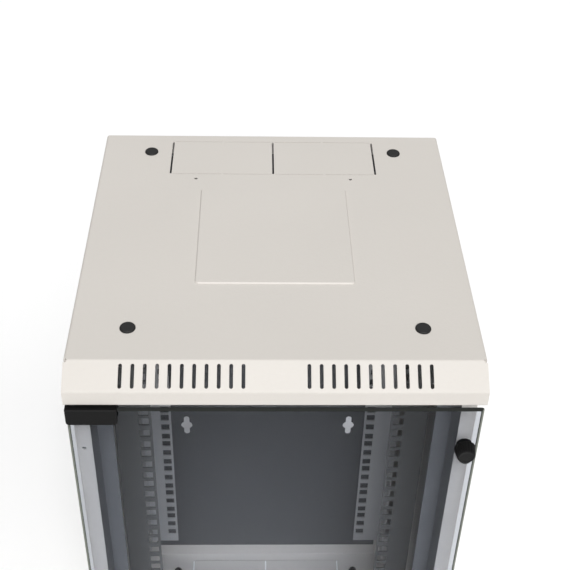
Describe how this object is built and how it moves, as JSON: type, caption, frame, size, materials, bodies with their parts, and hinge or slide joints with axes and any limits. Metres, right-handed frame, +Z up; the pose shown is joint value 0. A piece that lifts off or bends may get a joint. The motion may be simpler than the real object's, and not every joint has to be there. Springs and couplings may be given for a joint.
{
  "type": "wall mount network cabinet",
  "caption": "Wall mount network cabinet of 10-inch rack width with a slotted sloping fascia, a tinted frameless glass door on pivot hinges and adjustable front rails.",
  "frame": {"origin": "middle of the base, on the plane under the bottom hole plugs", "axes": "+Z up, -Y towards the glass door, +Y towards the wall, +X to the right seen from the front"},
  "size_m": [0.312, 0.3298, 0.6532],
  "materials": {
    "light_grey_coat": "satin",
    "dark_grey_coat": "satin",
    "tinted_glass": "gloss",
    "black_coat": "satin",
    "black_plastic": "satin",
    "zinc_steel": "satin",
    "rubber": "matte",
    "black_nylon": "satin",
    "nickel": "polished",
    "aluminium": "satin"
  },
  "bodies": {
    "cabinet": {"top_cover": "light_grey_coat", "bottom_cover": "light_grey_coat", "left_side_panel": "light_grey_coat", "right_side_panel": "light_grey_coat", "left_front_post": "light_grey_coat", "right_front_post": "light_grey_coat", "left_rear_rail": "light_grey_coat", "right_rear_rail": "light_grey_coat", "left_upper_bracket": "light_grey_coat", "left_lower_bracket": "light_grey_coat", "right_upper_bracket": "light_grey_coat", "right_lower_bracket": "light_grey_coat", "rear_rail_bolts": "zinc_steel", "rear_rail_nuts": "zinc_steel", "catch_screw": "zinc_steel", "back_panel_screws": "zinc_steel", "earth_stud": "zinc_steel", "earth_lower_nut": "zinc_steel", "earth_upper_nut": "zinc_steel", "earth_washer": "zinc_steel", "back_panel": "dark_grey_coat", "left_inner_upright": "dark_grey_coat", "right_inner_upright": "dark_grey_coat", "top_plugs": "black_plastic", "bottom_plugs": "black_plastic", "pivot_bushes": "black_nylon", "catch_magnet": "nickel", "catch_holder": "aluminium"},
    "door": {"door_glass": "tinted_glass", "upper_hinge_clamp": "black_coat", "lower_hinge_clamp": "black_coat", "hinge_pressure_plates": "zinc_steel", "hinge_front_pads": "rubber", "hinge_rear_pads": "rubber", "hinge_grub_screws": "zinc_steel", "hinge_pivot_pins": "zinc_steel", "knob": "black_plastic", "knob_screw": "zinc_steel", "knob_washer": "black_nylon", "strike_disc": "zinc_steel"},
    "left_rail": {"left_front_rail": "dark_grey_coat", "left_front_rail_bolts": "zinc_steel", "left_front_rail_nuts": "zinc_steel"},
    "right_rail": {"right_front_rail": "dark_grey_coat", "right_front_rail_bolts": "zinc_steel", "right_front_rail_nuts": "zinc_steel"}
  },
  "joints": [
    {"name": "door_hinge", "type": "hinge", "parent": "cabinet", "child": "door", "pos_m": [-0.149, -0.1501, 0.3266], "axis": [0, 0, -1], "range_deg": [0, 180]},
    {"name": "left_rail_slide", "type": "slide", "parent": "cabinet", "child": "left_rail", "axis": [0, 1, 0], "range_m": [-0.05, 0.06]},
    {"name": "right_rail_slide", "type": "slide", "parent": "cabinet", "child": "right_rail", "axis": [0, 1, 0], "range_m": [-0.05, 0.06]}
  ]
}
